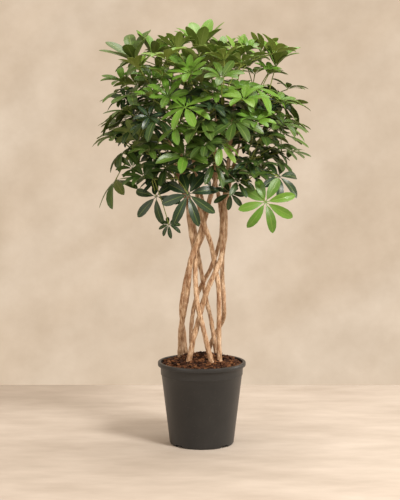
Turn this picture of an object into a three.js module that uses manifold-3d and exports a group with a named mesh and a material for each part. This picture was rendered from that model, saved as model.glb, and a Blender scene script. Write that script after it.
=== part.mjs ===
// A braided umbrella tree in a black nursery pot, in millimetres, +Z up.
// The origin is the middle of the pot's underside, and -Y is the front.
// Eight stems cross each other round an open cage and carry leafy shoots above it.
import * as THREE from "three";
import { mergeVertices } from "three/addons/utils/BufferGeometryUtils.js";
import Module from "manifold-3d";

const wasm = await Module();
wasm.setup();

// ---- Driving dimensions ----
const GAP = 0.3; // clearance that separate pieces keep where they meet
const LEAF_GAP = 1; // and the clearance between leaves that touch

const POT = {
  height: 255,
  rimRadius: 135,
  lipHeight: 13,
  lipWidth: 8,
  bandHeight: 26, // plain band between the lip and the step in the wall
  stepDepth: 1.7,
  bandRadius: 127,
  footRadius: 94,
  wall: 2,
  channelHeight: 6, // raised ring of the base that water runs under
  segments: 28,
  notches: 4,
  notchWidth: 30,
  drainHoles: 6,
  drainHoleRadius: 4.5,
  drainCircle: 55,
};

const SOIL = { edgeHeight: 246, crownRise: 30 };

const CAGE = {
  rootHeight: 165, // the buried end of each stem
  firstLevel: 180, // each stem's headings are at this height and every levelStep above it
  levelStep: 80,
  radius: 64,
  footFlare: 11, // extra radius of the cage at the soil
  lean: 0.025, // sideways drift of the cage per millimetre of height
  weave: 11.5, // how far a stem moves in (-1) or out (1) to pass its neighbour
  crownHeight: 740, // where the stems leave the cage and spread
  stemRadius: 8.6,
  sides: 6,
  steps: 20,
};

// Every stem's heading round the cage, level by level, and where it passes in or out.
const STEMS = [
  { heading: [-118, -112, -90, -62, -47, -32, -13, 10, 22], pass: [0, 0, 0, 0, 0, 1, -0.6, -1, 0], size: 1.08 },
  { heading: [-40, -34, -23, -7, 15, 41, 53, 60, 67], pass: [0, 0, 0, -1, 0, 1, 0, 0, 0], size: 1.04 },
  { heading: [174, 167, 144, 100, 118, 120, 104, 106, 112], pass: [0, 0, 1, 0, 0, 0, 0, 0, 0], size: 0.9 },
  { heading: [201, 205, 212, 205, 177, 146, 126, 136, 157], pass: [0, 0, 0, 0, 1, 0, 0, 0, 0], size: 0.84 },
  { heading: [220, 224, 240, 262, 242, 202, 182, 186, 202], pass: [0, 0, 0, 0.3, 0, 1, 0, 0, 0], size: 0.8 },
  { heading: [138, 140, 145, 168, 184, 202, 211, 226, 247], pass: [0, 0, -1, 0, -1, -1, 0, 0, 0], size: 0.86 },
  { heading: [33, 24, 7, -10, -23, -34, -42, -54, -67], pass: [0, 0, 0, 1, 0, -1, 0, 0, 0], size: 0.98 },
  { heading: [56, 49, 48, 48, 42, 31, 4, -14, -22], pass: [0, 0, 0, 0, 0, -1, 0.6, 1, 0], size: 0.96 },
];

// Even stems spread low and wide, odd stems rise to fill the top.
const CROWN = {
  stemTop: [1000, 1075],
  stemSpread: [0.27, 0.1],
  shootHeights: [822, 872, 922, 968],
  shootStagger: 26,
  shootSide: [30, -32, 24, -26],
  shootRise: [0, 10, 24, 40],
  shootLength: [138, 138, 122, 104],
  tipRise: [58, 74],
  tipLength: [92, 84],
  twigRadius: 3.1,
  leafAt: [1.0, 0.78, 0.5], // along the twig, the leaf at its tip first
  petiole: [70, 100, 112],
  leafRadius: [70, 84, 86],
  maxReach: 268, // of a leaf's hub from the middle of the crown
  maxHubHeight: 1196,
  minHubHeight: 812,
  lowReach: 150, // reach allowed at the lowest hubs, widening by lowSpread with height
  lowSpread: 0.95,
  petioleRadius: 1.7,
  seatOffset: 9, // how far from the hub the stalk meets the leaflets
  leafThickness: 3.6,
  valley: 0.3, // where the gaps between leaflets end, as a share of the radius
  clearRoom: 62, // a leaf is left out when another hub is nearer than this
  stemClearance: 15, // between the middle of a stem and a leaf's stalk
  tries: 8, // places tried for each leaf; the roomiest one is kept
  seed: 20261,
};

// Leaves whose places give the crown its outline: hub x, y, z, the heading and
// rise of the face, radius, droop of the leaflets as a slope, leaflet count.
const PLACED_LEAVES = [
  [-200, -20, 1166, -60, 66, 124, -1.0, 8],
  [-150, 10, 1184, 60, 70, 92, -1.0, 7],
  [-8, -30, 1186, 0, 86, 124, -1.5, 8],
  [-4, -66, 1134, 190, 62, 124, -0.5, 7],
  [44, -58, 1140, 150, 58, 110, -0.7, 7],
  [112, 0, 1176, 20, 80, 84, -1.3, 6],
  [222, 10, 1150, 50, 76, 100, -1.3, 8],
  [-204, 10, 1072, -90, 72, 116, -0.3, 7],
  [-226, -66, 1024, -90, 62, 102, 0.1, 7],
  [-186, -122, 940, 180, 40, 82, -0.4, 8],
  [-234, -30, 900, -70, 66, 76, 0.4, 7],
  [-262, 0, 812, -80, 64, 104, 0.5, 5],
  [-206, -66, 850, -30, 40, 56, -0.6, 7],
  [-136, -90, 768, -20, 16, 84, 0.1, 6],
  [-40, -192, 782, -4, 20, 94, 0.12, 8],
  [-98, -110, 686, -10, 34, 42, 0.3, 8],
  [84, -134, 780, 10, 30, 54, 0.2, 7],
  [186, -166, 757, 6, 10, 92, 0, 8],
  [228, -96, 828, 30, 40, 84, 0.05, 7],
  [247, -24, 950, 84, 62, 84, -0.1, 7],
  [240, 46, 975, 60, 80, 102, -0.2, 7],
  [250, -44, 1040, 96, 66, 78, -0.4, 6],
  [2, -228, 996, 0, 80, 104, 0.3, 8],
  [52, -244, 930, 6, 58, 74, 0.5, 7],
  [-97, -188, 1062, 0, 44, 74, -0.5, 7],
  [-128, -206, 1000, -10, 64, 86, 0.2, 7],
  [152, -176, 1088, 26, 72, 98, 0.3, 8],
];

const stemNumbers = [...STEMS.keys()];

// ---- Small tools ----
// The unit vector of a heading round the tree (0 is the front, 90 is +X) and a rise, in degrees.
function towards(heading, rise) {
  const h = THREE.MathUtils.degToRad(heading);
  const e = THREE.MathUtils.degToRad(rise);
  return new THREE.Vector3(
    Math.sin(h) * Math.cos(e),
    -Math.cos(h) * Math.cos(e),
    Math.sin(e),
  );
}

// A repeatable stream of numbers between two limits.
function drawFrom(seed) {
  let state = seed;
  return (low, high) => {
    state = (state * 16807) % 2147483647;
    return low + ((high - low) * state) / 2147483647;
  };
}

// Two unit vectors square to a direction, and to each other.
function squareTo(direction) {
  const guide = Math.abs(direction.z) > 0.97 ? new THREE.Vector3(1, 0, 0) : new THREE.Vector3(0, 0, 1);
  const first = new THREE.Vector3().crossVectors(direction, guide).normalize();
  return [first, new THREE.Vector3().crossVectors(direction, first)];
}

function smoothStep(low, high, value) {
  const t = Math.min(1, Math.max(0, (value - low) / (high - low)));
  return t * t * (3 - 2 * t);
}

// A closed geometry as a solid that can be joined and cut.
function solidOf(geometry) {
  const bare = geometry.clone();
  for (const name of ["normal", "uv"]) bare.deleteAttribute(name);
  const merged = mergeVertices(bare, 1e-4);
  return new wasm.Manifold(
    new wasm.Mesh({
      numProp: 3,
      vertProperties: new Float32Array(merged.attributes.position.array),
      triVerts: new Uint32Array(merged.index.array),
    }),
  );
}

function geometryOf(solid) {
  const mesh = solid.getMesh();
  const geometry = new THREE.BufferGeometry();
  geometry.setAttribute("position", new THREE.BufferAttribute(mesh.vertProperties, 3));
  geometry.setIndex(new THREE.BufferAttribute(mesh.triVerts, 1));
  return geometry;
}

const join = (solids) => solids.reduce((sum, next) => sum.add(next));
const cutAll = (solid, cutters) => cutters.reduce((left, cutter) => left.subtract(cutter), solid);

function boxesMeet(a, b) {
  const boxA = a.boundingBox();
  const boxB = b.boundingBox();
  return [0, 1, 2].every((k) => boxA.min[k] <= boxB.max[k] && boxB.min[k] <= boxA.max[k]);
}

// The largest body of a solid, without details finer than the tolerance.
function mainBody(solid, tolerance) {
  const bodies = solid.simplify(tolerance).decompose();
  return bodies.reduce((best, next) => (next.volume() > best.volume() ? next : best));
}

// A tapered tube: a plain cylinder bent along a curve. radiusAt takes 0 to 1 along the curve.
function bentTube(curve, radiusAt, sides, steps) {
  const tube = new THREE.CylinderGeometry(1, 1, 1, sides, steps);
  const frames = curve.computeFrenetFrames(steps);
  const places = curve.getSpacedPoints(steps);
  const position = tube.attributes.position;
  for (let i = 0; i < position.count; i++) {
    const along = position.getY(i) + 0.5;
    const ring = Math.round(along * steps);
    const radius = radiusAt(along);
    const place = places[ring]
      .clone()
      .addScaledVector(frames.normals[ring], radius * position.getX(i))
      .addScaledVector(frames.binormals[ring], -radius * position.getZ(i));
    position.setXYZ(i, place.x, place.y, place.z);
  }
  return solidOf(tube);
}

// ---- Nursery pot and soil ----
const potStep = POT.height - POT.lipHeight - POT.bandHeight;
const bandFoot = POT.bandRadius - 1.4;
const cornerRise = 7; // height of the rounded corner between wall and foot
const padRadius = 30; // middle pad of the base, level with the foot
const footWidth = 15;

// The outer wall from the middle of the base up to the lip, as radius and height.
function outerWall() {
  return [
    [0, 0],
    [padRadius, 0],
    [padRadius + 4, POT.channelHeight],
    [POT.footRadius - footWidth - 4, POT.channelHeight],
    [POT.footRadius - footWidth, 0],
    [POT.footRadius, 0],
    [POT.footRadius + 3.4, 2],
    [POT.footRadius + 5, cornerRise],
    [bandFoot - POT.stepDepth, potStep - 2],
    [bandFoot, potStep],
    [POT.bandRadius, POT.height - POT.lipHeight],
  ];
}

// The inner wall from the lip down to the middle of the floor.
function innerWall(inset) {
  const wall = POT.wall + inset;
  const floor = POT.channelHeight + wall;
  return [
    [POT.bandRadius - wall, POT.height - POT.lipHeight],
    [bandFoot - wall, potStep],
    [bandFoot - POT.stepDepth - wall, potStep - 2],
    [POT.footRadius + 5 - wall, floor],
    [0, floor],
  ];
}

function lathe(profile) {
  const points = profile.map(([radius, height]) => new THREE.Vector2(radius, height));
  const turned = new THREE.LatheGeometry(points, POT.segments);
  return solidOf(turned.rotateX(Math.PI / 2));
}

function drainHole(heading) {
  const { x, y } = towards(heading, 0).multiplyScalar(POT.drainCircle);
  const hole = new THREE.CylinderGeometry(POT.drainHoleRadius, POT.drainHoleRadius, 20, 8);
  return solidOf(hole.rotateX(Math.PI / 2).translate(x, y, POT.channelHeight));
}

function makePot() {
  const lipInner = POT.rimRadius - POT.lipWidth - POT.wall;
  const lip = [
    [POT.rimRadius - 1, POT.height - POT.lipHeight + 1],
    [POT.rimRadius, POT.height - POT.lipHeight + 3],
    [POT.rimRadius, POT.height - 3],
    [POT.rimRadius - 2, POT.height],
    [lipInner + 1.5, POT.height],
    [lipInner, POT.height - 2],
  ];
  let pot = lathe([...outerWall(), ...lip, ...innerWall(0)]);
  for (let i = 0; i < POT.notches; i++) {
    const heading = 45 + (i * 360) / POT.notches;
    const notch = new THREE.BoxGeometry(POT.notchWidth, 40, 2 * cornerRise);
    notch.translate(0, -POT.footRadius - 8, 0).rotateZ(THREE.MathUtils.degToRad(heading));
    pot = pot.subtract(solidOf(notch));
  }
  for (let i = 0; i < POT.drainHoles; i++) pot = pot.subtract(drainHole((i * 360) / POT.drainHoles));
  return pot;
}

// Height of the domed soil at a distance from the middle.
function soilHeight(reach) {
  return SOIL.edgeHeight + SOIL.crownRise * (1 - (reach / POT.bandRadius) ** 2);
}

function makeSoil(stemRoom) {
  const dome = [0, 45, 80, 106].map((reach) => [reach, soilHeight(reach)]);
  const edge = [POT.bandRadius - POT.wall - GAP, SOIL.edgeHeight];
  const [rim, ...sides] = innerWall(GAP);
  const profile = [...sides.reverse(), rim, edge, ...dome.reverse()];
  return mainBody(cutAll(lathe(profile), stemRoom), 0.02);
}

// ---- Braided stems ----
// A smooth value through evenly spaced ones, at a place counted in steps from the first.
function smoothThrough(values, place) {
  const last = values.length - 1;
  const at = Math.min(last, Math.max(0, place));
  const i = Math.min(last - 1, Math.floor(at));
  const t = at - i;
  const [before, from, to, after] = [i - 1, i, i + 1, i + 2].map((k) => values[Math.min(last, Math.max(0, k))]);
  const bend = 2 * before - 5 * from + 4 * to - after;
  return from + 0.5 * t * (to - before + t * (bend + t * (3 * (from - to) + after - before)));
}

function stemPlace(stem, z) {
  const { heading, pass } = STEMS[stem];
  const level = (z - CAGE.firstLevel) / CAGE.levelStep;
  const weave = CAGE.weave * smoothThrough(pass, level);
  const flare = CAGE.footFlare * Math.exp(-Math.max(0, z - 240) / 70);
  const spread = Math.max(0, z - CAGE.crownHeight) * CROWN.stemSpread[stem % 2];
  const drift = CAGE.lean * Math.min(400, Math.max(0, z - SOIL.edgeHeight));
  const place = towards(smoothThrough(heading, level), 0);
  place.multiplyScalar(CAGE.radius + flare + weave + spread);
  return new THREE.Vector3(place.x + drift, place.y, z);
}

function stemTop(stem) {
  return CROWN.stemTop[stem % 2] + 14 * Math.sin(stem * 2.4);
}

// The whole stem is thickest at the soil and thins out in the crown.
function stemRadius(stem, z) {
  const crown = smoothStep(680, stemTop(stem), z);
  const flare = 1.6 * Math.exp(-Math.max(0, z - 255) / 25);
  return STEMS[stem].size * (CAGE.stemRadius - 4.8 * crown) + flare;
}

function stemCurve(stem) {
  const top = stemTop(stem);
  const points = [];
  for (let i = 0; i <= CAGE.steps; i++) {
    points.push(stemPlace(stem, CAGE.rootHeight + ((top - CAGE.rootHeight) * i) / CAGE.steps));
  }
  return new THREE.CatmullRomCurve3(points);
}

function stemTube(stem, grow) {
  const span = stemTop(stem) - CAGE.rootHeight;
  const radiusAt = (along) => stemRadius(stem, CAGE.rootHeight + span * along) + grow;
  return bentTube(stemCurve(stem), radiusAt, CAGE.sides, CAGE.steps);
}

// A stem is pressed flat where an earlier one touches it.
function makeStem(stem, stemRoom) {
  return mainBody(cutAll(stemTube(stem, 0), stemRoom.slice(0, stem)), 0.02);
}

// ---- Leafy shoots ----
// Each stem carries side shoots and one at its tip. A shoot is its twig's two ends.
function planShoots(draw) {
  const shoots = [];
  for (const stem of stemNumbers) {
    const kind = stem % 2;
    const heading = STEMS[stem].heading.at(-1);
    const plan = CROWN.shootHeights.map((height, i) => ({
      z: height + kind * CROWN.shootStagger,
      heading: heading + (kind === 0 ? 1 : -1) * CROWN.shootSide[i] + draw(-7, 7),
      rise: CROWN.shootRise[i] + draw(-6, 6),
      length: CROWN.shootLength[i] * draw(0.88, 1.1) * (kind === 0 ? 1 : 0.92),
    }));
    plan.push({
      z: stemTop(stem) - 6,
      heading: heading + draw(-30, 30),
      rise: CROWN.tipRise[kind],
      length: CROWN.tipLength[kind],
    });
    for (const { z, heading: way, rise, length } of plan) {
      const start = stemPlace(stem, z);
      const direction = towards(way, rise);
      const end = start.clone().addScaledVector(direction, length);
      end.z += 0.1 * length;
      shoots.push({ stem, start, end, direction, leaves: [] });
    }
  }
  return shoots;
}

function twigCurve({ start, end, direction }) {
  const middle = start.clone().addScaledVector(direction, 0.55 * start.distanceTo(end));
  return new THREE.QuadraticBezierCurve3(start, middle, end);
}

// Pulls a leaf's hub back to its node until it is inside the crown.
function keepInCrown(node, hub) {
  const offset = hub.clone().sub(node);
  for (let share = 1; share > 0.3; share -= 0.1) {
    const place = node.clone().addScaledVector(offset, share);
    const reach = Math.hypot(place.x, place.y);
    const above = place.z - CROWN.minHubHeight;
    const widest = Math.min(CROWN.maxReach, CROWN.lowReach + CROWN.lowSpread * above);
    if (reach < widest && place.z < CROWN.maxHubHeight && above > 0) return place;
  }
  return node.clone().addScaledVector(offset, 0.3);
}

// Placed leaves go to the shoot whose tip is nearest.
function addPlacedLeaves(shoots) {
  for (const [x, y, z, heading, rise, radius, droop, leaflets] of PLACED_LEAVES) {
    const hub = new THREE.Vector3(x, y, z);
    const nearest = shoots.reduce((best, next) =>
      next.end.distanceTo(hub) < best.end.distanceTo(hub) ? next : best,
    );
    const at = 0.94 - 0.08 * nearest.leaves.length;
    nearest.leaves.push({ hub, face: towards(heading, rise), radius, droop, leaflets, at, spin: 15 });
  }
}

// Whether a leaf's stalk would run into a stem.
function meetsStem(node, hub) {
  return [0.25, 0.5, 0.75, 1].some((share) => {
    const place = node.clone().lerp(hub, share);
    return stemNumbers.some(
      (stem) => place.z < stemTop(stem) && stemPlace(stem, place.z).distanceTo(place) < CROWN.stemClearance,
    );
  });
}

// One place a leaf could take: its stalk leaves the twig at a random angle.
function tryLeaf(shoot, i, draw) {
  const node = twigCurve(shoot).getPoint(CROWN.leafAt[i]);
  const twig = shoot.end.clone().sub(shoot.start).normalize();
  const [across, over] = squareTo(twig);
  const outward = new THREE.Vector3(node.x, node.y, 0).normalize();
  const atTip = i === 0;
  const turn = draw(0, 2 * Math.PI);
  const sideways = atTip ? 0.5 : 0.95;
  const way = twig
    .clone()
    .multiplyScalar(atTip ? 1.0 : 0.45)
    .addScaledVector(across, sideways * Math.cos(turn))
    .addScaledVector(over, sideways * Math.sin(turn))
    .addScaledVector(outward, 0.35);
  way.z += 0.3;
  way.normalize();
  const hub = keepInCrown(node, node.clone().addScaledVector(way, CROWN.petiole[i] * draw(0.85, 1.25)));
  return { hub, way, outward, atTip, at: CROWN.leafAt[i], blocked: meetsStem(node, hub) };
}

// Gives a leaf its face, size and shape.
function finishLeaf({ hub, way, outward, atTip, at }, size, draw) {
  const face = way.clone().multiplyScalar(0.3).addScaledVector(outward, draw(-0.05, 0.4));
  face.x += draw(-0.3, 0.3);
  face.y += draw(-0.3, 0.3);
  face.z += draw(0.6, 1);
  face.normalize();
  const radius = size * draw(0.84, 1.14);
  const droop = (atTip ? draw(-0.8, 0) : draw(-0.35, 0.4)) - 0.5 * smoothStep(1020, 1150, hub.z);
  return { hub, face, radius, droop, leaflets: Math.floor(draw(7, 9.99)), at, spin: draw(0, 45) };
}

// Plain leaves fill the crown between the placed ones, each where it has most room.
function addPlainLeaves(shoots, draw) {
  const hubs = shoots.flatMap((shoot) => shoot.leaves.map((leaf) => leaf.hub));
  const roomAt = (place) => Math.min(...hubs.map((hub) => hub.distanceTo(place)));
  const worth = (leaf) => (leaf.blocked ? 0 : roomAt(leaf.hub));
  CROWN.leafAt.forEach((_, i) => {
    for (const shoot of shoots) {
      let best = tryLeaf(shoot, i, draw);
      for (let k = 1; k < CROWN.tries; k++) {
        const next = tryLeaf(shoot, i, draw);
        if (worth(next) > worth(best)) best = next;
      }
      const leaf = finishLeaf(best, CROWN.leafRadius[i], draw);
      if (i > 0 && roomAt(leaf.hub) < CROWN.clearRoom) continue;
      hubs.push(leaf.hub);
      shoot.leaves.push(leaf);
    }
  });
}

// A leaf's stalk, from its node on the twig to the underside of its leaflets, just off the hub.
function makePetiole(shoot, { hub, face, leaflets, droop, at, spin }, grow) {
  const [across, over] = squareTo(face);
  const angle = THREE.MathUtils.degToRad(spin + 90 / leaflets);
  const seat = hub
    .clone()
    .addScaledVector(across, CROWN.seatOffset * Math.sin(angle))
    .addScaledVector(over, -CROWN.seatOffset * Math.cos(angle))
    .addScaledVector(face, -CROWN.seatOffset * droop);
  const line = new THREE.LineCurve3(twigCurve(shoot).getPoint(at), seat);
  return bentTube(line, (along) => CROWN.petioleRadius - 0.6 * along + grow, 3, 1);
}

// A whole leaf's leaflets as one star: a flat cone whose rim runs in and out.
function leafStar({ hub, face, radius, droop, leaflets, spin }, grow) {
  const star = new THREE.ConeGeometry(1, 1, 2 * leaflets);
  const position = star.attributes.position;
  const [across, over] = squareTo(face);
  for (let i = 0; i < position.count; i++) {
    const turn = Math.atan2(position.getX(i), position.getZ(i));
    const onRim = Math.hypot(position.getX(i), position.getZ(i)) > 0.5;
    const step = Math.round((turn * leaflets) / Math.PI);
    const reach = onRim ? ((radius + grow) * (step % 2 === 0 ? 1 : CROWN.valley)) / Math.hypot(1, droop) : 0;
    const lift = onRim ? -droop * reach : Math.sign(position.getY(i)) * (CROWN.leafThickness / 2 + grow);
    const angle = turn + THREE.MathUtils.degToRad(spin);
    const place = hub
      .clone()
      .addScaledVector(across, reach * Math.sin(angle))
      .addScaledVector(over, -reach * Math.cos(angle))
      .addScaledVector(face, lift);
    position.setXYZ(i, place.x, place.y, place.z);
  }
  return solidOf(star);
}

const makeTwig = (shoot, grow) =>
  bentTube(twigCurve(shoot), (along) => CROWN.twigRadius - along + grow, 4, 2);
const makeStalks = (shoot, grow) => join(shoot.leaves.map((leaf) => makePetiole(shoot, leaf, grow)));
const makeBlades = (shoot, grow) => join(shoot.leaves.map((leaf) => leafStar(leaf, grow)));

// Stalks give way to stems, twigs and earlier stalks, and leaves give way to
// all of those and to earlier leaves. Stalks are cut clear of other shoots only.
function makeShoots(shoots, stemRoom) {
  const twigRoom = shoots.map((shoot) => makeTwig(shoot, LEAF_GAP));
  const stalkRoom = shoots.map((shoot) => makeStalks(shoot, LEAF_GAP));
  const bladeRoom = shoots.map((shoot) => makeBlades(shoot, LEAF_GAP));
  return shoots.map((shoot, i) => {
    const others = (solids) => solids.filter((_, k) => k !== i);
    const trim = (solid, cutters) => cutAll(solid, cutters.filter((cutter) => boxesMeet(solid, cutter)));
    const twig = trim(makeTwig(shoot, 0), [...stemRoom, ...twigRoom.slice(0, i)]);
    const stalks = trim(makeStalks(shoot, 0), [...stemRoom, ...others(twigRoom), ...stalkRoom.slice(0, i)]);
    const room = [...stemRoom, ...others(twigRoom), ...others(stalkRoom), ...bladeRoom.slice(0, i)];
    return mainBody(join([twig, stalks, trim(makeBlades(shoot, 0), room)]), 0.1);
  });
}

// ---- Assembly ----
const plastic = new THREE.MeshStandardMaterial({ color: 0x34322f, roughness: 0.48, metalness: 0 });
const earth = new THREE.MeshStandardMaterial({ color: 0x4a2a1a, roughness: 0.95, metalness: 0 });
const bark = new THREE.MeshStandardMaterial({ color: 0xb08a60, roughness: 0.85, metalness: 0 });
const foliage = new THREE.MeshStandardMaterial({ color: 0x3d6b24, roughness: 0.42, metalness: 0 });

const tree = new THREE.Group();

function addPiece(name, solid, material) {
  const piece = new THREE.Mesh(geometryOf(solid), material);
  piece.name = name;
  tree.add(piece);
}

const draw = drawFrom(CROWN.seed);
const shoots = planShoots(draw);
addPlacedLeaves(shoots);
addPlainLeaves(shoots, draw);

const stemRoom = stemNumbers.map((stem) => stemTube(stem, GAP));

addPiece("nursery_pot", makePot(), plastic);
addPiece("potting_soil", makeSoil(stemRoom), earth);
for (const stem of stemNumbers) addPiece(`stem_${stem + 1}`, makeStem(stem, stemRoom), bark);
makeShoots(shoots, stemRoom).forEach((solid, i) => {
  const onStem = shoots.slice(0, i).filter(({ stem }) => stem === shoots[i].stem).length;
  addPiece(`stem_${shoots[i].stem + 1}_leafy_shoot_${onStem + 1}`, solid, foliage);
});

export default tree;
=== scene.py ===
import math

import bpy
from mathutils import Matrix, Vector


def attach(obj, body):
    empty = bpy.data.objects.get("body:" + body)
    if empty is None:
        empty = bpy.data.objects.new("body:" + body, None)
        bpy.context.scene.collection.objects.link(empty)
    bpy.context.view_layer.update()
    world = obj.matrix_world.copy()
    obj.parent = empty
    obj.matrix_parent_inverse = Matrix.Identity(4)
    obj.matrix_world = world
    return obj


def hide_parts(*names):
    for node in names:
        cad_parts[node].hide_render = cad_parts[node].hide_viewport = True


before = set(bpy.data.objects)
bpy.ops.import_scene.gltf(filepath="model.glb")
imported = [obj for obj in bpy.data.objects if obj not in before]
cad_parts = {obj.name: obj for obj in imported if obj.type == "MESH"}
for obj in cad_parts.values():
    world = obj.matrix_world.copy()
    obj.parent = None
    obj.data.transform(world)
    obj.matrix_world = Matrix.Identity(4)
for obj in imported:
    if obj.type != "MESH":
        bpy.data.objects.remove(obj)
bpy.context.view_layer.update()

# Plan lengths are millimetres and angles degrees; mm turns them into metres.
# Headings go round the tree: 0 is the front, 90 is +X.
mm = 0.001


def towards(heading, rise):
    h, e = math.radians(heading), math.radians(rise)
    return Vector((math.sin(h) * math.cos(e), -math.cos(h) * math.cos(e), math.sin(e)))


def drawFrom(seed):  # a repeatable stream of numbers
    state = [seed]

    def draw(low, high):
        state[0] = state[0] * 16807 % 2147483647
        return low + (high - low) * state[0] / 2147483647

    return draw


def squareTo(direction):  # two directions square to it
    guide = Vector((1, 0, 0)) if abs(direction.z) > 0.97 else Vector((0, 0, 1))
    first = direction.cross(guide).normalized()
    return first, direction.cross(first)


def smoothStep(low, high, value):
    t = min(1, max(0, (value - low) / (high - low)))
    return t * t * (3 - 2 * t)


def clearSelection():
    if bpy.context.object and bpy.context.object.mode != "OBJECT":
        bpy.ops.object.mode_set(mode="OBJECT")
    bpy.ops.object.select_all(action="DESELECT")


def pick(piece):  # makes one piece the selected and active one
    clearSelection()
    piece.select_set(True)
    bpy.context.view_layer.objects.active = piece


def applyModifier(piece, kind, **settings):
    pick(piece)
    modifier = piece.modifiers.new(kind.title(), kind)
    for name, value in settings.items():
        setattr(modifier, name, value)
    bpy.ops.object.modifier_apply(modifier=modifier.name)


def settle(piece):  # place, turn and size go into the mesh
    pick(piece)
    bpy.ops.object.transform_apply(location=True, rotation=True, scale=True)


def smoothByAngle(piece, degrees):
    pick(piece)
    bpy.ops.object.shade_smooth_by_angle(angle=math.radians(degrees))


def selectWhere(piece, test):  # edit-mode vertex selection by place
    bpy.ops.mesh.select_mode(type="VERT")
    bpy.ops.mesh.select_all(action="DESELECT")
    bpy.ops.object.mode_set(mode="OBJECT")
    for vertex in piece.data.vertices:
        vertex.select = test(vertex.co)
    bpy.ops.object.mode_set(mode="EDIT")


def joinPieces(name, pieces):
    clearSelection()
    for piece in pieces:
        piece.select_set(True)
    bpy.context.view_layer.objects.active = pieces[0]
    if len(pieces) > 1:
        bpy.ops.object.join()
    joined = bpy.context.object
    joined.name = joined.data.name = name
    return joined


def setTone(mesh, name, value):  # one number all over a mesh, for its material
    layer = mesh.attributes.new(name, "FLOAT", "POINT")
    layer.data.foreach_set("value", [value] * len(mesh.vertices))


def growTubes(name, runs, roundness, material):  # a run is (points, radii), in metres
    clearSelection()
    bpy.ops.curve.primitive_nurbs_path_add()
    tube = bpy.context.object
    tube.name = name
    curve = tube.data
    curve.splines.clear()
    curve.bevel_depth = 1.0
    curve.bevel_resolution = roundness
    curve.use_fill_caps = True
    for points, radii in runs:
        spline = curve.splines.new("POLY")
        spline.points.add(len(points) - 1)
        for spot, place, radius in zip(spline.points, points, radii):
            spot.co = (*place, 1)
            spot.radius = radius
    curve.materials.append(material)
    bpy.ops.object.convert(target="MESH")
    tube = bpy.context.object
    bpy.ops.object.mode_set(mode="EDIT")
    bpy.ops.mesh.select_all(action="SELECT")
    bpy.ops.mesh.remove_doubles(threshold=1e-6)
    bpy.ops.mesh.normals_make_consistent(inside=False)
    bpy.ops.object.mode_set(mode="OBJECT")
    return tube


def throwOnWheel(name, profile, segments):  # a closed turned shape, from (radius, height) in millimetres
    clearSelection()
    radius, height = profile[0]
    bpy.ops.mesh.primitive_circle_add(
        vertices=segments, radius=radius * mm, location=(0, 0, height * mm), fill_type="NOTHING"
    )
    piece = bpy.context.object
    piece.name = piece.data.name = name
    settle(piece)
    bpy.ops.object.mode_set(mode="EDIT")
    bpy.ops.mesh.select_all(action="SELECT")
    for nextRadius, nextHeight in profile[1:]:
        rise = (nextHeight - height) * mm
        bpy.ops.mesh.extrude_region_move(TRANSFORM_OT_translate={"value": (0, 0, rise)})
        grow = nextRadius / radius
        bpy.ops.transform.resize(value=(grow, grow, 1), center_override=(0, 0, 0))
        radius, height = nextRadius, nextHeight
    bpy.ops.mesh.select_all(action="SELECT")
    bpy.ops.mesh.fill_holes(sides=0)
    bpy.ops.mesh.select_all(action="SELECT")
    bpy.ops.mesh.normals_make_consistent(inside=False)
    bpy.ops.object.mode_set(mode="OBJECT")
    return piece


# Finishes. Patterns follow the piece's own place, and leaves their own map.
def newFinish(name, roughness, specular=0.5):
    finish = bpy.data.materials.new(name)
    finish.use_nodes = True
    shader = finish.node_tree.nodes["Principled BSDF"]
    shader.inputs["Roughness"].default_value = roughness
    shader.inputs["Specular IOR Level"].default_value = specular
    return finish, finish.node_tree, shader


def addNode(tree, kind, links=None, **settings):
    node = tree.nodes.new(kind)
    for name, value in settings.items():
        if name in node.inputs:
            node.inputs[name].default_value = value
        else:
            setattr(node, name, value)
    for socket, source in (links or {}).items():
        tree.links.new(source, node.inputs[socket])
    return node


def calc(tree, operation, a, b=None):
    node = tree.nodes.new("ShaderNodeMath")
    node.operation = operation
    for socket, value in zip(node.inputs, (a, b)):
        if value is None:
            continue
        if isinstance(value, (int, float)):
            socket.default_value = value
        else:
            tree.links.new(value, socket)
    return node.outputs[0]


def srgb(red, green, blue):
    line = [c / 255 for c in (red, green, blue)]
    return [c / 12.92 if c <= 0.04045 else ((c + 0.055) / 1.055) ** 2.4 for c in line] + [1]


def ramp(tree, source, *stops):  # stops are (place, colour)
    node = tree.nodes.new("ShaderNodeValToRGB")
    elements = node.color_ramp.elements
    while len(elements) < len(stops):
        elements.new(0.5)
    for element, (place, colour) in zip(elements, stops):
        element.position = place
        element.color = colour
    tree.links.new(source, node.inputs["Fac"])
    return node.outputs["Color"]


def mixColour(tree, share, first, second, blend="MIX"):
    node = tree.nodes.new("ShaderNodeMix")
    node.data_type = "RGBA"
    node.blend_type = blend
    for socket, value in ((0, share), (6, first), (7, second)):
        if isinstance(value, (int, float, list)):
            node.inputs[socket].default_value = value
        else:
            tree.links.new(value, node.inputs[socket])
    return node.outputs[2]


def objectPlace(tree, scale=(1, 1, 1)):
    where = tree.nodes.new("ShaderNodeTexCoord").outputs["Object"]
    return addNode(tree, "ShaderNodeMapping", {"Vector": where}, Scale=scale).outputs[0]


def noiseAt(tree, place, scale, detail=4, roughness=0.5):
    return addNode(
        tree, "ShaderNodeTexNoise", {"Vector": place}, Scale=scale, Detail=detail, Roughness=roughness
    ).outputs[0]


def addBump(tree, shader, height, strength, distance):
    bump = addNode(tree, "ShaderNodeBump", {"Height": height}, Strength=strength, Distance=distance)
    tree.links.new(bump.outputs[0], shader.inputs["Normal"])


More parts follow.
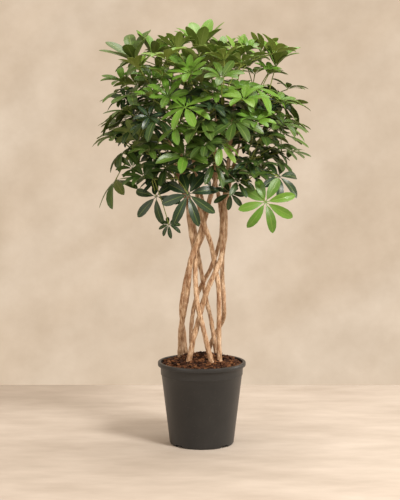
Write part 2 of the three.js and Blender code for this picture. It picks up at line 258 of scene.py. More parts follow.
def potPlasticFinish():
    finish, tree, shader = newFinish("mouldedPotPlastic", 0.46, 0.45)
    place = objectPlace(tree)
    cloudy = noiseAt(tree, place, 9, 5, 0.6)
    colour = ramp(tree, cloudy, (0.3, srgb(31, 32, 33)), (0.7, srgb(41, 41, 41)))
    dust = ramp(tree, noiseAt(tree, place, 140, 3), (0.62, [0, 0, 0, 1]), (0.8, [1, 1, 1, 1]))
    dusty = mixColour(tree, calc(tree, "MULTIPLY", dust, 0.10), colour, srgb(122, 112, 100))
    tree.links.new(dusty, shader.inputs["Base Color"])
    scuffs = noiseAt(tree, objectPlace(tree, (1, 1, 0.15)), 60, 6, 0.65)
    rough = addNode(tree, "ShaderNodeMapRange", {"Value": scuffs}, **{"To Min": 0.32, "To Max": 0.5})
    tree.links.new(rough.outputs[0], shader.inputs["Roughness"])
    addBump(tree, shader, noiseAt(tree, place, 700, 2), 0.12, 0.0004)
    return finish


def pottingMixFinish(name, toneName=None):
    finish, tree, shader = newFinish(name, 0.92, 0.2)
    place = objectPlace(tree)
    lumps = addNode(tree, "ShaderNodeTexVoronoi", {"Vector": place}, Scale=190)
    lumpTone = addNode(tree, "ShaderNodeSeparateColor", {"Color": lumps.outputs["Color"]})
    fibre = noiseAt(tree, objectPlace(tree, (1, 2.6, 1)), 260, 6, 0.7)
    tone = lumpTone.outputs[0]
    if toneName:
        tone = addNode(tree, "ShaderNodeAttribute", attribute_name=toneName).outputs["Fac"]
    mixed = calc(tree, "ADD", calc(tree, "MULTIPLY", tone, 0.6), calc(tree, "MULTIPLY", fibre, 0.45))
    colour = ramp(
        tree, mixed,
        (0.12, srgb(16, 9, 6)), (0.38, srgb(38, 21, 13)),
        (0.62, srgb(72, 42, 25)), (0.9, srgb(132, 90, 58)),
    )
    tree.links.new(colour, shader.inputs["Base Color"])
    addBump(tree, shader, fibre, 0.7, 0.0015)
    return finish


def barkFinish():
    finish, tree, shader = newFinish("paleTreeBark", 0.78, 0.3)
    place = objectPlace(tree)
    streaks = noiseAt(tree, objectPlace(tree, (1, 1, 0.28)), 150, 8, 0.65)
    patches = noiseAt(tree, place, 26, 4, 0.6)
    colour = ramp(
        tree, streaks,
        (0.3, srgb(98, 70, 50)), (0.44, srgb(164, 130, 98)),
        (0.58, srgb(206, 178, 148)), (0.76, srgb(238, 218, 192)),
    )
    brown = ramp(tree, patches, (0.42, [0, 0, 0, 1]), (0.66, [1, 1, 1, 1]))
    colour = mixColour(tree, calc(tree, "MULTIPLY", brown, 0.6), colour, srgb(128, 84, 54))
    pores = addNode(tree, "ShaderNodeTexVoronoi", {"Vector": objectPlace(tree, (1, 1, 2.2))}, Scale=150)
    poreMask = ramp(tree, pores.outputs["Distance"], (0.1, [1, 1, 1, 1]), (0.2, [0, 0, 0, 1]))
    colour = mixColour(tree, calc(tree, "MULTIPLY", poreMask, 0.75), colour, srgb(78, 50, 32))
    tree.links.new(colour, shader.inputs["Base Color"])
    height = calc(tree, "SUBTRACT", streaks, calc(tree, "MULTIPLY", poreMask, 0.4))
    addBump(tree, shader, height, 0.8, 0.0022)
    return finish


def leafVeins(tree):  # how near a spot is to the midrib and to a side vein, from the leaflet's own map
    leafMap = tree.nodes.new("ShaderNodeUVMap").outputs[0]
    across = addNode(tree, "ShaderNodeSeparateXYZ", {"Vector": leafMap})
    side = calc(tree, "ABSOLUTE", calc(tree, "SUBTRACT", across.outputs["X"], 0.5))
    midrib = addNode(
        tree, "ShaderNodeMapRange", {"Value": side}, interpolation_type="SMOOTHSTEP",
        **{"From Min": 0.012, "From Max": 0.05, "To Min": 1.0, "To Max": 0.0},
    ).outputs[0]
    slanted = calc(tree, "SUBTRACT", across.outputs["Y"], calc(tree, "MULTIPLY", side, 0.32))
    wave = calc(tree, "SINE", calc(tree, "MULTIPLY", slanted, 78))
    vein = addNode(
        tree, "ShaderNodeMapRange", {"Value": wave}, interpolation_type="SMOOTHSTEP",
        **{"From Min": 0.82, "From Max": 1.0, "To Min": 0.0, "To Max": 1.0},
    ).outputs[0]
    return midrib, vein


def leafFinish(name, stops, ribColour, ribShare, veinShare, roughness, sheen):
    finish, tree, shader = newFinish(name, roughness, sheen)
    midrib, vein = leafVeins(tree)
    # The per-leaf tone attribute is painted light and shade: lit leaves read lighter, shaded ones darker;
    # the mottle added to it is random tone.
    tone = addNode(tree, "ShaderNodeAttribute", attribute_name="leafToneWithPaintedLight").outputs["Fac"]
    mottle = noiseAt(tree, objectPlace(tree), 60, 4, 0.6)
    shade = calc(tree, "ADD", tone, calc(tree, "MULTIPLY", calc(tree, "SUBTRACT", mottle, 0.5), 0.22))
    colour = ramp(tree, shade, *stops)
    colour = mixColour(tree, calc(tree, "MULTIPLY", vein, veinShare), colour, ribColour)
    colour = mixColour(tree, calc(tree, "MULTIPLY", midrib, ribShare), colour, ribColour)
    tree.links.new(colour, shader.inputs["Base Color"])
    raised = calc(tree, "ADD", midrib, calc(tree, "MULTIPLY", vein, 0.35))
    addBump(tree, shader, raised, 0.35, 0.0006)
    return finish


def stalkFinish():
    finish, tree, shader = newFinish("greenStalk", 0.45, 0.4)
    tone = addNode(tree, "ShaderNodeAttribute", attribute_name="leafToneWithPaintedLight").outputs["Fac"]
    grain = noiseAt(tree, objectPlace(tree, (1, 1, 0.5)), 190, 4)
    share = calc(tree, "ADD", tone, calc(tree, "MULTIPLY", calc(tree, "SUBTRACT", grain, 0.5), 0.4))
    colour = ramp(
        tree, share, (0.0, srgb(96, 84, 48)), (0.35, srgb(112, 122, 52)), (0.9, srgb(150, 168, 78))
    )
    tree.links.new(colour, shader.inputs["Base Color"])
    addBump(tree, shader, grain, 0.25, 0.0006)
    return finish


potPlastic = potPlasticFinish()
pottingMix = pottingMixFinish("pottingMix")
chipBark = pottingMixFinish("barkChip", "chipTone")
treeBark = barkFinish()
leafTop = leafFinish(
    "leafUpperSide",
    [(0.0, srgb(24, 46, 36)), (0.25, srgb(38, 62, 30)), (0.5, srgb(66, 92, 34)),
     (0.64, srgb(86, 128, 38)), (1.0, srgb(126, 150, 64))],
    srgb(128, 148, 72), 0.5, 0.14, 0.36, 0.42,
)
leafUnder = leafFinish(
    "leafUnderside",
    [(0.0, srgb(50, 66, 38)), (0.4, srgb(86, 104, 48)),
     (0.75, srgb(120, 136, 62)), (1.0, srgb(146, 158, 78))],
    srgb(142, 154, 88), 0.5, 0.25, 0.55, 0.3,
)
greenStalk = stalkFinish()
print("finishes ready")


# Camera, lamps, backdrop and floor
cameraSettings = {"place": (-0.0055, -4.45, 1.08), "pitch": -6.18, "lens": 105.8}

clearSelection()
bpy.ops.object.camera_add(
    location=cameraSettings["place"],
    rotation=(math.radians(90 + cameraSettings["pitch"]), 0, 0),
)
camera = bpy.context.object
camera.data.lens = cameraSettings["lens"]
camera.data.sensor_width = 36
bpy.context.scene.camera = camera
bpy.context.scene.view_settings.view_transform = "Standard"

studio = {
    "floorReach": 0.892,  # the floor ends where the backdrop begins
    "backdrop": srgb(236, 215, 191),
    "shade": srgb(227, 204, 178),
    "backdropStrength": 0.96,
}

lights = [  # name, place, aim, size, watts, colour
    ("keyLight", (1.9, -2.3, 2.9), (0, 0, 0.8), 0.9, 165, (1.0, 0.96, 0.9)),
    ("fillLight", (-2.6, -2.4, 1.6), (0, 0, 0.8), 2.4, 30, (1.0, 0.98, 0.96)),
    ("topLight", (0.3, 0.6, 3.4), (0, 0, 0.9), 1.6, 44, (1.0, 0.97, 0.92)),
    ("sideLight", (2.4, 0.5, 0.7), (0.1, 0, 0.3), 0.8, 16, (1.0, 0.98, 0.95)),
]
for name, place, aim, size, watts, colour in lights:
    bpy.ops.object.light_add(type="AREA", location=place)
    lamp = bpy.context.object
    lamp.name = name
    lamp.rotation_euler = (Vector(aim) - Vector(place)).to_track_quat("-Z", "Y").to_euler()
    lamp.data.size = size
    lamp.data.energy = watts
    lamp.data.color = colour

world = bpy.data.worlds.new("studioAir")
bpy.context.scene.world = world
world.use_nodes = True
air = world.node_tree.nodes["Background"]
air.inputs["Color"].default_value = studio["backdrop"]
air.inputs["Strength"].default_value = studio["backdropStrength"]
airTree = world.node_tree
# The backdrop has painted shadow: soft diagonal bands of darker colour, like window shadows on a wall,
# under a fine plaster mottle.
skyPlace = airTree.nodes.new("ShaderNodeTexCoord").outputs["Generated"]
slanted = addNode(
    airTree, "ShaderNodeMapping", {"Vector": skyPlace}, vector_type="TEXTURE",
    Rotation=(0, math.radians(-36), 0), Scale=(0.3, 0.3, 0.075),
).outputs[0]
cloudy = noiseAt(airTree, slanted, 1.3, 3, 0.5)
paintedShadowBands = ramp(airTree, cloudy, (0.4, studio["shade"]), (0.62, studio["backdrop"]))
trowel = noiseAt(airTree, skyPlace, 34, 6, 0.62)
plaster = ramp(airTree, trowel, (0.3, srgb(238, 236, 233)), (0.7, [1, 1, 1, 1]))
airTree.links.new(mixColour(airTree, 1.0, paintedShadowBands, plaster, "MULTIPLY"), air.inputs["Color"])

bpy.ops.mesh.primitive_plane_add(size=2 * studio["floorReach"], location=(0, 0, 0))
floor = bpy.context.object
floor.name = "studioFloor"
floorFinish, floorTree, floorShader = newFinish("limewashedFloor", 0.75, 0.2)
mottle = noiseAt(floorTree, objectPlace(floorTree, (1, 2.5, 1)), 3.2, 6, 0.6)
tint = ramp(floorTree, mottle, (0.35, srgb(178, 167, 156)), (0.7, srgb(197, 187, 177)))
floorTree.links.new(tint, floorShader.inputs["Base Color"])
floor.data.materials.append(floorFinish)
print("studio ready")


# Nursery pot
pot = {
    "height": 255, "rimRadius": 135, "lipHeight": 13, "lipInner": 125,
    "bandHeight": 26, "stepDepth": 1.7, "bandRadius": 127,
    "footRadius": 94, "footWidth": 15, "cornerRise": 7, "padRadius": 30, "channelHeight": 6,
    "wall": 2, "segments": 128,
    "notches": 4, "notchWidth": 30, "drainHoles": 6, "drainHoleRadius": 4.5, "drainCircle": 55,
}
lipFoot = pot["height"] - pot["lipHeight"]
stepHeight = lipFoot - pot["bandHeight"]
bandFoot = pot["bandRadius"] - 1.4


def makePot():
    foot, rim, top = pot["footRadius"], pot["rimRadius"], pot["height"]
    band, wall, lipInner = pot["bandRadius"], pot["wall"], pot["lipInner"]
    underStep = bandFoot - pot["stepDepth"]
    profile = [
        (2, 0), (pot["padRadius"], 0), (pot["padRadius"] + 4, pot["channelHeight"]),
        (foot - pot["footWidth"] - 4, pot["channelHeight"]), (foot - pot["footWidth"], 0),
        (foot, 0), (foot + 2, 0.6), (foot + 3.6, 2.2), (foot + 4.6, 4.4), (foot + 5, pot["cornerRise"]),
        (underStep - 0.3, stepHeight - 2.4), (underStep + 0.4, stepHeight - 1.2), (bandFoot, stepHeight),
        (bandFoot + 0.1, stepHeight + 1), (band, lipFoot - 1.5), (band + 0.8, lipFoot),
        (rim - 1.6, lipFoot + 0.4), (rim - 0.4, lipFoot + 1.4), (rim, lipFoot + 3),
        (rim, top - 3.2), (rim - 0.6, top - 1.4), (rim - 2, top - 0.3), (rim - 3.4, top),
        (lipInner + 2.4, top), (lipInner + 0.8, top - 0.6), (lipInner, top - 2.2),
        (lipInner, lipFoot), (bandFoot - wall, stepHeight), (underStep - wall, stepHeight - 2),
        (foot + 5 - wall, pot["channelHeight"] + 2), (2, pot["channelHeight"] + 2),
    ]
    piece = throwOnWheel("nurseryPotShell", profile, pot["segments"])
    cutters = []
    for i in range(pot["notches"]):
        clearSelection()
        bpy.ops.mesh.primitive_cube_add(size=1, location=towards(45 + 90 * i, 0) * (foot + 8) * mm)
        notch = bpy.context.object
        notch.dimensions = (pot["notchWidth"] * mm, 0.04, 2 * pot["cornerRise"] * mm)
        notch.rotation_euler = (0, 0, math.radians(45 + 90 * i))
        settle(notch)
        applyModifier(notch, "BEVEL", width=0.003, segments=3)
        cutters.append(notch)
    for i in range(pot["drainHoles"]):
        heading = 360 * i / pot["drainHoles"]
        clearSelection()
        bpy.ops.mesh.primitive_cylinder_add(
            vertices=24, radius=pot["drainHoleRadius"] * mm, depth=0.02,
            location=towards(heading, 0) * pot["drainCircle"] * mm + Vector((0, 0, 0.006)),
        )
        settle(bpy.context.object)
        cutters.append(bpy.context.object)
    cutter = joinPieces("cutter", cutters)
    applyModifier(piece, "BOOLEAN", object=cutter, operation="DIFFERENCE", solver="EXACT")
    bpy.data.objects.remove(cutter)
    piece.data.materials.clear()
    piece.data.materials.append(potPlastic)
    smoothByAngle(piece, 32)
    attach(piece, "root")
    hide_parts("nursery_pot")


makePot()
print("pot turned")

# Braided stems
cage = {
    "rootHeight": 165, "firstLevel": 180, "levelStep": 80, "radius": 64, "footFlare": 11, "lean": 0.025,
    "weave": 11.5, "crownHeight": 740, "stemRadius": 8.6,
    "soilEdge": 246, "stemTop": [1000, 1075], "stemSpread": [0.27, 0.1],
    "ringStep": 7, "nodeEvery": 46,
}

stems = [  # each stem's heading level by level, and where it passes in (-1) or out (1)
    {"heading": [-118, -112, -90, -62, -47, -32, -13, 10, 22],
     "pass": [0, 0, 0, 0, 0, 1, -0.6, -1, 0], "size": 1.08},
    {"heading": [-40, -34, -23, -7, 15, 41, 53, 60, 67],
     "pass": [0, 0, 0, -1, 0, 1, 0, 0, 0], "size": 1.04},
    {"heading": [174, 167, 144, 100, 118, 120, 104, 106, 112],
     "pass": [0, 0, 1, 0, 0, 0, 0, 0, 0], "size": 0.9},
    {"heading": [201, 205, 212, 205, 177, 146, 126, 136, 157],
     "pass": [0, 0, 0, 0, 1, 0, 0, 0, 0], "size": 0.84},
    {"heading": [220, 224, 240, 262, 242, 202, 182, 186, 202],
     "pass": [0, 0, 0, 0.3, 0, 1, 0, 0, 0], "size": 0.8},
    {"heading": [138, 140, 145, 168, 184, 202, 211, 226, 247],
     "pass": [0, 0, -1, 0, -1, -1, 0, 0, 0], "size": 0.86},
    {"heading": [33, 24, 7, -10, -23, -34, -42, -54, -67],
     "pass": [0, 0, 0, 1, 0, -1, 0, 0, 0], "size": 0.98},
    {"heading": [56, 49, 48, 48, 42, 31, 4, -14, -22],
     "pass": [0, 0, 0, 0, 0, -1, 0.6, 1, 0], "size": 0.96},
]


def smoothThrough(values, place):
    last = len(values) - 1
    at = min(last, max(0, place))
    i = min(last - 1, int(at))
    t = at - i
    before, start, end, after = (values[min(last, max(0, k))] for k in (i - 1, i, i + 1, i + 2))
    bend = 2 * before - 5 * start + 4 * end - after
    return start + 0.5 * t * (end - before + t * (bend + t * (3 * (start - end) + after - before)))


def stemPlace(stem, z):
    level = (z - cage["firstLevel"]) / cage["levelStep"]
    weave = cage["weave"] * smoothThrough(stems[stem]["pass"], level)
    flare = cage["footFlare"] * math.exp(-max(0, z - 240) / 70)
    spread = max(0, z - cage["crownHeight"]) * cage["stemSpread"][stem % 2]
    drift = cage["lean"] * min(400, max(0, z - cage["soilEdge"]))
    place = towards(smoothThrough(stems[stem]["heading"], level), 0)
    place *= cage["radius"] + flare + weave + spread
    return Vector((place.x + drift, place.y, z))


def stemTop(stem):
    return cage["stemTop"][stem % 2] + 14 * math.sin(stem * 2.4)


def stemRadius(stem, z):
    crown = smoothStep(680, stemTop(stem), z)
    flare = 1.6 * math.exp(-max(0, z - 255) / 25)
    return stems[stem]["size"] * (cage["stemRadius"] - 4.8 * crown) + flare


def barkRoughness(name, size):  # a soft lumpy texture for displacing bark
    texture = bpy.data.textures.new(name, "CLOUDS")
    texture.noise_scale = size
    texture.noise_depth = 2
    return texture


def makeStem(stem, lumps, grain):
    draw = drawFrom(911 + 37 * stem)
    top = stemTop(stem)
    nodes = []
    z = cage["rootHeight"] + draw(0, 40)
    while z < top:
        nodes.append((z, draw(0.04, 0.13), draw(2.5, 5)))
        z += cage["nodeEvery"] * draw(0.6, 1.4)
    points, radii = [], []
    steps = int((top - cage["rootHeight"]) / cage["ringStep"])
    for i in range(steps + 1):
        z = cage["rootHeight"] + (top - cage["rootHeight"]) * i / steps
        swell = sum(size * math.exp(-(((z - at) / wide) ** 2)) for at, size, wide in nodes)
        points.append(stemPlace(stem, z) * mm)
        radii.append(stemRadius(stem, z) * (0.87 + swell) * mm)
    piece = growTubes(f"braidedStem{stem + 1}", [(points, radii)], 5, treeBark)
    applyModifier(piece, "DISPLACE", texture=lumps, strength=0.0026, mid_level=0.5, texture_coords="LOCAL")
    applyModifier(piece, "DISPLACE", texture=grain, strength=0.0011, mid_level=0.5, texture_coords="LOCAL")
    smoothByAngle(piece, 60)
    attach(piece, "root")
    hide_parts(f"stem_{stem + 1}")


lumps, grain = barkRoughness("barkLumps", 0.02), barkRoughness("barkGrain", 0.006)
for stem in range(len(stems)):
    makeStem(stem, lumps, grain)
print("stems braided")

# Potting mix
mix = {
    "edgeHeight": 246, "crownRise": 30, "gap": 0.3, "segments": 150, "ringStep": 3,
    "chips": 260, "chipReach": 118, "chipRoom": 17, "chipSeed": 4711,
}


def soilHeight(reach):
    return mix["edgeHeight"] + mix["crownRise"] * (1 - (reach / pot["bandRadius"]) ** 2)


def makePottingMix():
    inner = pot["bandRadius"] - pot["wall"] - mix["gap"]
    floorHeight = pot["channelHeight"] + pot["wall"] + mix["gap"]
    wall = pot["wall"] + mix["gap"]
    profile = [
        (2, floorHeight), (pot["footRadius"] + 5 - wall, floorHeight),
        (bandFoot - pot["stepDepth"] - wall, stepHeight - 2), (bandFoot - wall, stepHeight),
        (inner - 0.6, mix["edgeHeight"] - 2),
    ]
    reach = inner - 1.2
    while reach > 3:
        profile.append((reach, soilHeight(reach)))
        reach -= mix["ringStep"]
    profile.append((1.5, soilHeight(0)))
    piece = throwOnWheel("pottingMixBed", profile, mix["segments"])
    topGroup = piece.vertex_groups.new(name="top")
    for vertex in piece.data.vertices:
        reach = math.hypot(vertex.co.x, vertex.co.y) / mm
        if vertex.co.z > 0.24:
            topGroup.add([vertex.index], min(1, max(0, (inner - 2 - reach) / 8)), "REPLACE")
    for name, kind, size, strength in (
        ("mixMounds", "CLOUDS", 0.035, 0.011), ("mixLumps", "VORONOI", 0.011, -0.006),
        ("mixCrumbs", "CLOUDS", 0.005, 0.005),
    ):
        texture = bpy.data.textures.new(name, kind)
        texture.noise_scale = size
        applyModifier(
            piece, "DISPLACE", texture=texture, strength=strength, mid_level=0.5,
            direction="Z", vertex_group="top", texture_coords="LOCAL",
        )
    piece.data.materials.clear()
    piece.data.materials.append(pottingMix)
    smoothByAngle(piece, 50)
    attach(piece, "root")
    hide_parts("potting_soil")


def makeChipShapes():
    shapes = []
    for i, size in enumerate([(15, 8, 3.4), (11, 8, 4.2), (19, 6.5, 3), (9, 6, 3.6)]):
        clearSelection()
        bpy.ops.mesh.primitive_cube_add(size=1)
        chip = bpy.context.object
        chip.dimensions = [s * mm for s in size]
        settle(chip)
        bpy.ops.object.mode_set(mode="EDIT")
        bpy.ops.mesh.select_all(action="SELECT")
        bpy.ops.mesh.subdivide(number_cuts=1)
        bpy.ops.transform.vertex_random(offset=0.0013, seed=i + 3)
        bpy.ops.object.mode_set(mode="OBJECT")
        applyModifier(chip, "BEVEL", width=0.0005, segments=1)
        chip.data.materials.append(chipBark)
        shapes.append(chip)
    return shapes


def scatterChips():
    draw = drawFrom(mix["chipSeed"])
    shapes = makeChipShapes()
    stemFeet = [stemPlace(stem, 262) for stem in range(len(stems))]
    chips = []
    while len(chips) < mix["chips"]:
        reach, heading = mix["chipReach"] * math.sqrt(draw(0, 1)), draw(0, 360)
        spot = towards(heading, 0) * reach
        shape = shapes[int(draw(0, 3.999))]
        turn = Matrix.Rotation(draw(0, 6.28), 4, "Z") @ Matrix.Rotation(draw(-0.5, 0.5), 4, "X")
        turn = turn @ Matrix.Rotation(draw(-0.4, 0.4), 4, "Y") @ Matrix.Scale(draw(0.55, 1.25), 4)
        lift, tone = draw(-1.5, 2.5), draw(0.15, 1)
        if any((spot.xy - foot.xy).length < mix["chipRoom"] for foot in stemFeet):
            continue
        chip = shape.copy()
        chip.data = shape.data.copy()
        bpy.context.collection.objects.link(chip)
        spot.z = soilHeight(reach) + lift
        chip.data.transform(Matrix.Translation(spot * mm) @ turn)
        setTone(chip.data, "chipTone", tone)
        chips.append(chip)
    piece = joinPieces("barkChips", chips)
    for shape in shapes:
        bpy.data.objects.remove(shape)
    smoothByAngle(piece, 30)
    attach(piece, "root")


makePottingMix()
scatterChips()
print("potting mix filled")

# Leafy shoots. Placed leaves give the crown its outline, and plain ones fill it.
crown = {
    "shootHeights": [822, 872, 922, 968], "shootStagger": 26, "shootSide": [30, -32, 24, -26],
    "shootRise": [0, 10, 24, 40], "shootLength": [138, 138, 122, 104],
    "tipRise": [58, 74], "tipLength": [92, 84], "twigRadius": 3.1,
    "leafAt": [1.0, 0.78, 0.5], "petiole": [70, 100, 112], "leafRadius": [70, 84, 86],
    "maxReach": 268, "maxHubHeight": 1196, "minHubHeight": 812, "lowReach": 150, "lowSpread": 0.95,
    "petioleRadius": 1.5,
    "clearRoom": 62, "stemClearance": 15, "tries": 8, "seed": 20261,
    "innerLeafAt": [0.9, 0.66, 0.4], "innerStalk": 76, "innerRadius": 62, "innerTop": 1090, "innerRoom": 30,
}

placedLeaves = [  # hub x, y, z, face heading and rise, radius, droop, leaflets, tone; the tone is painted light and shade: lit top and right leaves lighter, low inner ones darker
    (-200, -20, 1166, -60, 66, 124, -1.0, 8, 0.5),
    (-150, 10, 1184, 60, 70, 92, -1.0, 7, 0.6),
    (-8, -30, 1186, 0, 86, 124, -1.5, 8, 0.66),
    (-4, -66, 1134, 190, 62, 124, -0.5, 7, 0.7),
    (44, -58, 1140, 150, 58, 110, -0.7, 7, 0.82),
    (112, 0, 1176, 20, 80, 84, -1.3, 6, 0.8),
    (222, 10, 1150, 50, 76, 100, -1.3, 8, 0.6),
    (-204, 10, 1072, -90, 72, 116, -0.3, 7, 0.55),
    (-226, -66, 1024, -90, 62, 102, 0.1, 7, 0.5),
    (-186, -122, 940, 180, 40, 82, -0.4, 8, 0.42),
    (-234, -30, 900, -70, 66, 76, 0.4, 7, 0.35),
    (-262, 0, 812, -80, 64, 104, 0.5, 5, 0.45),
    (-206, -66, 850, -30, 40, 56, -0.6, 7, 0.4),
    (-136, -90, 768, -20, 16, 84, 0.1, 6, 0.2),
    (-40, -192, 782, -4, 20, 94, 0.12, 8, 0.12),
    (-98, -110, 686, -10, 34, 42, 0.3, 8, 0.2),
    (84, -134, 780, 10, 30, 54, 0.2, 7, 0.25),
    (186, -166, 757, 6, 10, 92, 0, 8, 0.64),
    (228, -96, 828, 30, 40, 84, 0.05, 7, 0.16),
    (247, -24, 950, 84, 62, 84, -0.1, 7, 0.5),
    (240, 46, 975, 60, 80, 102, -0.2, 7, 0.5),
    (250, -44, 1040, 96, 66, 78, -0.4, 6, 0.55),
    (2, -228, 996, 0, 80, 104, 0.3, 8, 0.48),
    (52, -244, 930, 6, 58, 74, 0.5, 7, 0.74),
    (-97, -188, 1062, 0, 44, 74, -0.5, 7, 0.58),
    (-128, -206, 1000, -10, 64, 86, 0.2, 7, 0.3),
    (152, -176, 1088, 26, 72, 98, 0.3, 8, 0.66),
]


def planShoots(draw):
    shoots = []
    for stem in range(len(stems)):
        kind = stem % 2
        side = 1 if kind == 0 else -1
        heading = stems[stem]["heading"][-1]
        plan = []
        for i, height in enumerate(crown["shootHeights"]):
            way = heading + side * crown["shootSide"][i] + draw(-7, 7)
            rise = crown["shootRise"][i] + draw(-6, 6)
            length = crown["shootLength"][i] * draw(0.88, 1.1) * (1 if kind == 0 else 0.92)
            plan.append((height + kind * crown["shootStagger"], way, rise, length))
        way = heading + draw(-30, 30)
        plan.append((stemTop(stem) - 6, way, crown["tipRise"][kind], crown["tipLength"][kind]))
        for number, (z, way, rise, length) in enumerate(plan):
            start = stemPlace(stem, z)
            direction = towards(way, rise)
            end = start + direction * length
            end.z += 0.1 * length
            shoots.append({
                "stem": stem, "number": number, "start": start, "end": end,
                "direction": direction, "leaves": [],
            })
    return shoots


def onCurve(start, middle, end, t):
    return start * (1 - t) ** 2 + middle * 2 * t * (1 - t) + end * t * t


def twigPoint(shoot, t):
    length = (shoot["end"] - shoot["start"]).length
    return onCurve(shoot["start"], shoot["start"] + shoot["direction"] * 0.55 * length, shoot["end"], t)


def keepInCrown(node, hub):
    share = 1
    while share > 0.3:
        place = node.lerp(hub, share)
        above = place.z - crown["minHubHeight"]
        widest = min(crown["maxReach"], crown["lowReach"] + crown["lowSpread"] * above)
        if math.hypot(place.x, place.y) < widest and place.z < crown["maxHubHeight"] and above > 0:
            return place
        share -= 0.1
    return node.lerp(hub, 0.3)


def addPlacedLeaves(shoots):
    for x, y, z, heading, rise, radius, droop, leaflets, tone in placedLeaves:
        hub = Vector((x, y, z))
        nearest = min(shoots, key=lambda shoot: (shoot["end"] - hub).length)
        nearest["leaves"].append({
            "hub": hub, "face": towards(heading, rise), "radius": radius, "droop": droop,
            "leaflets": leaflets, "at": 0.94 - 0.08 * len(nearest["leaves"]), "spin": 15, "tone": tone,
        })


def meetsStem(node, hub):
    for share in (0.25, 0.5, 0.75, 1):
        place = node.lerp(hub, share)
        for stem in range(len(stems)):
            near = (stemPlace(stem, place.z) - place).length < crown["stemClearance"]
            if place.z < stemTop(stem) and near:
                return True
    return False


def tryLeaf(shoot, i, draw):
    at = crown["leafAt"][i]
    node = twigPoint(shoot, at)
    twig = (shoot["end"] - shoot["start"]).normalized()
    across, over = squareTo(twig)
    outward = Vector((node.x, node.y, 0)).normalized()
    atTip = i == 0
    turn = draw(0, 2 * math.pi)
    sideways = 0.5 if atTip else 0.95
    way = twig * (1.0 if atTip else 0.45)
    way += across * sideways * math.cos(turn) + over * sideways * math.sin(turn) + outward * 0.35
    way.z += 0.3
    way.normalize()
    hub = keepInCrown(node, node + way * crown["petiole"][i] * draw(0.85, 1.25))
    return {
        "hub": hub, "way": way, "outward": outward, "atTip": atTip, "at": at,
        "blocked": meetsStem(node, hub),
    }


def finishLeaf(leaf, size, draw):
    face = leaf["way"] * 0.3 + leaf["outward"] * draw(-0.05, 0.4)
    face.x += draw(-0.3, 0.3)
    face.y += draw(-0.3, 0.3)
    face.z += draw(0.6, 1)
    radius = size * draw(0.84, 1.14)
    droop = draw(-0.8, 0) if leaf["atTip"] else draw(-0.35, 0.4)
    droop -= 0.5 * smoothStep(1020, 1150, leaf["hub"].z)
    leaflets, spin = int(draw(7, 9.99)), draw(0, 45)
    leaf.update(face=face.normalized(), radius=radius, droop=droop, leaflets=leaflets, spin=spin)
    return leaf


def addPlainLeaves(shoots, draw):
    hubs = [leaf["hub"] for shoot in shoots for leaf in shoot["leaves"]]

    def roomAt(place):
        return min((hub - place).length for hub in hubs)

    for i in range(len(crown["leafAt"])):
        for shoot in shoots:
            best, bestRoom = None, -1
            for _ in range(crown["tries"]):
                leaf = tryLeaf(shoot, i, draw)
                room = 0 if leaf["blocked"] else roomAt(leaf["hub"])
                if room > bestRoom:
                    best, bestRoom = leaf, room
            leaf = finishLeaf(best, crown["leafRadius"][i], draw)
            if i > 0 and roomAt(leaf["hub"]) < crown["clearRoom"]:
                continue
            hubs.append(leaf["hub"])
            shoot["leaves"].append(leaf)


# Small inner leaves close the crown behind the outer ones; their dark tone is painted shade.
def addInnerLeaves(shoots, draw):
    for shoot in shoots:
        for at in crown["innerLeafAt"]:
            node = twigPoint(shoot, at + draw(-0.1, 0.1))
            outward = Vector((node.x, node.y, 0)).normalized()
            way = towards(draw(0, 360), draw(-10, 65)) + outward * 0.5
            hub = keepInCrown(node, node + way.normalized() * crown["innerStalk"] * draw(0.6, 1.3))
            room = min(((hub - leaf["hub"]).length for leaf in shoot["leaves"]), default=1000)
            if hub.z > crown["innerTop"] or meetsStem(node, hub) or room < crown["innerRoom"]:
                continue
            face = way * 0.25 + Vector((draw(-0.45, 0.45), draw(-0.6, 0.3), draw(0.5, 1)))
            shoot["leaves"].append({
                "hub": hub, "face": face.normalized(), "radius": crown["innerRadius"] * draw(0.75, 1.15),
                "droop": draw(-0.3, 0.5), "leaflets": int(draw(6, 8.99)), "at": at, "spin": draw(0, 45),
                "tone": draw(0.02, 0.3),
            })


leaflet = {
    "rows": [0.0, 0.12, 0.19, 0.34, 0.52, 0.7, 0.86, 0.95, 1.0],  # hub, stalk end, then the blade
    "widths": [0.08, 0.08, 0.34, 0.72, 0.95, 1.0, 0.8, 0.46, 0.06],
    "width": 0.31, "thickness": 0.006, "columns": 4,
}


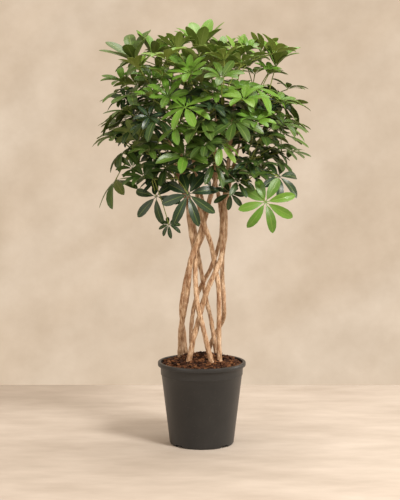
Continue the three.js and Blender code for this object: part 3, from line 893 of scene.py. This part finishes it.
# One leaflet 1 unit long, from the leaf's hub at the origin along +Y, face up.
def makeLeafletShape(name, arch, cup, tipFall):
    clearSelection()
    rows = leaflet["rows"]
    bpy.ops.mesh.primitive_grid_add(
        x_subdivisions=leaflet["columns"], y_subdivisions=len(rows) - 1, size=1, calc_uvs=True
    )
    blade = bpy.context.object
    blade.name = name
    bpy.ops.object.mode_set(mode="EDIT")
    step = 1 / (len(rows) - 1)
    for i in reversed(range(len(rows))):  # the tip first, so that no row meets the next one
        start = -0.5 + i * step
        selectWhere(blade, lambda co: abs(co.y - start) < 1e-4 and abs(co.z) < 1e-6)
        wide = leaflet["width"] * leaflet["widths"][i]
        bpy.ops.transform.resize(value=(wide, 1, 1), center_override=(0, start, 0))
        t = rows[i]
        fall = arch * math.sin(math.pi * t) - tipFall * t**2.4
        bpy.ops.transform.translate(value=(0, 1 + t - start, fall + 10))
    selectWhere(blade, lambda co: True)
    bpy.ops.transform.translate(value=(0, -1, -10))
    for side in (1, 2):  # the halves fold up from the midrib
        edge = side / (leaflet["columns"] / 2)
        for i, t in enumerate(rows[2:-1], 2):
            reach = leaflet["width"] * leaflet["widths"][i] / 2 * edge
            selectWhere(blade, lambda co: abs(co.y - t) < 1e-4 and abs(abs(co.x) - reach) < 1e-4)
            bpy.ops.transform.translate(value=(0, 0, cup * reach * (1.0 if side == 1 else 0.8)))
    bpy.ops.object.mode_set(mode="OBJECT")
    blade.data.materials.append(leafTop)
    blade.data.materials.append(leafUnder)
    applyModifier(
        blade, "SOLIDIFY", thickness=leaflet["thickness"], offset=-1,
        material_offset=1, material_offset_rim=1,
    )
    smoothByAngle(blade, 55)
    return blade


leafletShapes = [
    makeLeafletShape("leafletFlat", 0.03, 0.16, 0.07),
    makeLeafletShape("leafletArched", 0.07, 0.3, 0.2),
    makeLeafletShape("leafletFolded", 0.05, 0.55, 0.14),
]


def addLeaflets(shoot, leaf, draw):  # longer leaflets point away from the stalk
    face, hub = leaf["face"], leaf["hub"]
    across, over = squareTo(face)
    away = (hub - twigPoint(shoot, leaf["at"])).normalized()
    count = leaf["leaflets"]
    pieces = []
    for k in range(count):
        angle = math.radians(leaf["spin"] + 360 * k / count + draw(-5, 5))
        radial = across * math.sin(angle) - over * math.cos(angle)
        droop = leaf["droop"] + draw(-0.12, 0.14)
        along = (radial - face * droop).normalized()
        up = (face + radial * droop).normalized()
        up = (up + along.cross(up) * draw(-0.22, 0.22)).normalized()
        side = along.cross(up).normalized()
        up = side.cross(along)
        length = leaf["radius"] * (0.93 + 0.11 * radial.dot(away)) * draw(0.93, 1.05)
        wide = leaf["radius"] * draw(0.9, 1.08)
        shape = leafletShapes[int(draw(0, 2.999))]
        frameAt = Matrix((side * wide, along * length, up * length)).transposed().to_4x4()
        blade = shape.copy()
        blade.data = shape.data.copy()
        bpy.context.collection.objects.link(blade)
        blade.data.transform(Matrix.Translation(hub * mm) @ Matrix.Scale(mm, 4) @ frameAt)
        setTone(blade.data, "leafToneWithPaintedLight", min(1, max(0, leaf["tone"] + draw(-0.06, 0.06))))
        pieces.append(blade)
    return pieces


def stalkRuns(shoot):  # the twig and the leaf stalks
    twig = [twigPoint(shoot, t / 8) * mm for t in range(9)]
    runs = [(twig, [(crown["twigRadius"] - t / 8) * mm for t in range(9)])]
    for leaf in shoot["leaves"]:
        node = twigPoint(shoot, leaf["at"])
        reach = (leaf["hub"] - node).length
        middle = node.lerp(leaf["hub"], 0.5) + Vector((0, 0, 0.1 * reach))
        under = leaf["hub"] - leaf["face"] * 1.2
        points = [onCurve(node, middle, under, t / 7) * mm for t in range(8)]
        thin = crown["petioleRadius"]
        radii = [(thin + 1.1 * math.exp(-9 * t / 7) + 0.5 * (t == 7)) * mm for t in range(8)]
        runs.append((points, radii))
    return runs


def paintedLightToneAt(leaf, draw):  # painted light and shade: higher leaves are lighter, as if lit from above, lower ones darker, with a random spread
    height = (leaf["hub"].z - 760) / 440
    return min(0.95, max(0.05, 0.26 + 0.46 * height + draw(-0.16, 0.16)))


shootDraw = drawFrom(crown["seed"])
shoots = planShoots(shootDraw)
addPlacedLeaves(shoots)
addPlainLeaves(shoots, shootDraw)

lookDraw = drawFrom(808)
addInnerLeaves(shoots, lookDraw)
for shoot in shoots:
    stalks = growTubes("stalks", stalkRuns(shoot), 1, greenStalk)
    setTone(stalks.data, "leafToneWithPaintedLight", 0.5)
    smoothByAngle(stalks, 60)
    parts = [stalks]
    for leaf in shoot["leaves"]:
        leaf.setdefault("tone", paintedLightToneAt(leaf, lookDraw))
        parts += addLeaflets(shoot, leaf, lookDraw)
    stem, number = shoot["stem"] + 1, shoot["number"] + 1
    piece = joinPieces(f"leafyShoot{stem}.{number}", parts)
    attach(piece, "root")
    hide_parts(f"stem_{stem}_leafy_shoot_{number}")
for shape in leafletShapes:
    bpy.data.objects.remove(shape)
print("crown grown:", sum(len(shoot["leaves"]) for shoot in shoots), "leaves")
